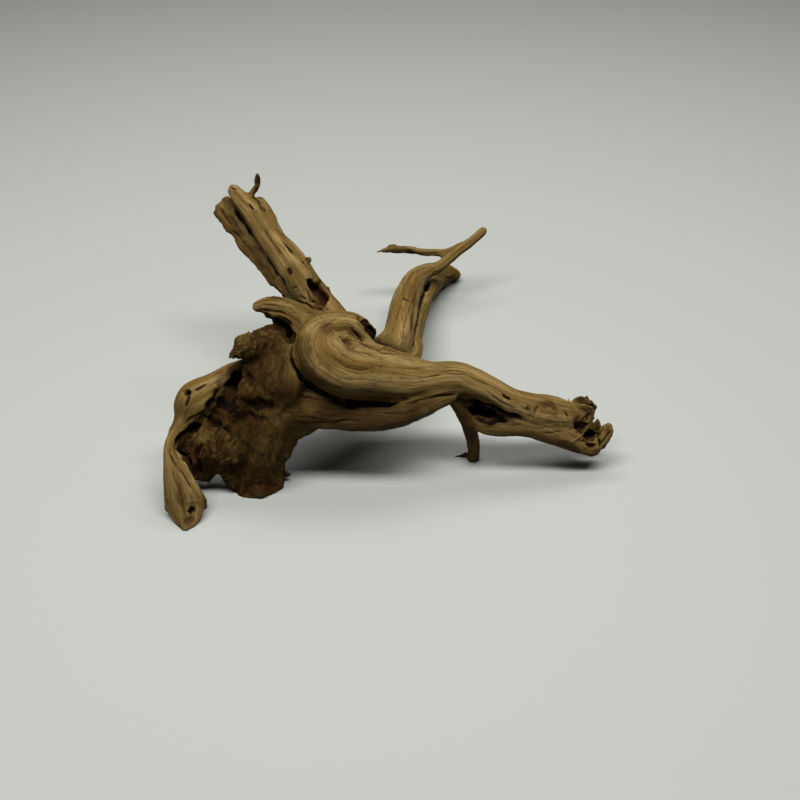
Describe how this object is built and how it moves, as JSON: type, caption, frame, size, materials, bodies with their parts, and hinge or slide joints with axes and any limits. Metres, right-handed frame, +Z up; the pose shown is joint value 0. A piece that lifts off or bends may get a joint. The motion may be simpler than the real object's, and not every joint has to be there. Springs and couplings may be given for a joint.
{
  "type": "driftwood",
  "caption": "Gnarled dry root of driftwood with a twisted main limb, two long branches, a rough stump and a thin peg foot, standing on its root ends.",
  "frame": {"origin": "centre of the piece's box, on the surface that it stands on", "axes": "+X along the main limb towards its broken end, +Y away from the side that shows best, +Z up"},
  "size_m": [0.2556, 0.2719, 0.1288],
  "materials": {
    "wood": "bare, dry and weathered, with silky grain on the limbs and dark rough wood on the stump"
  },
  "bodies": {
    "root": {"driftwood": "wood"}
  },
  "joints": []
}
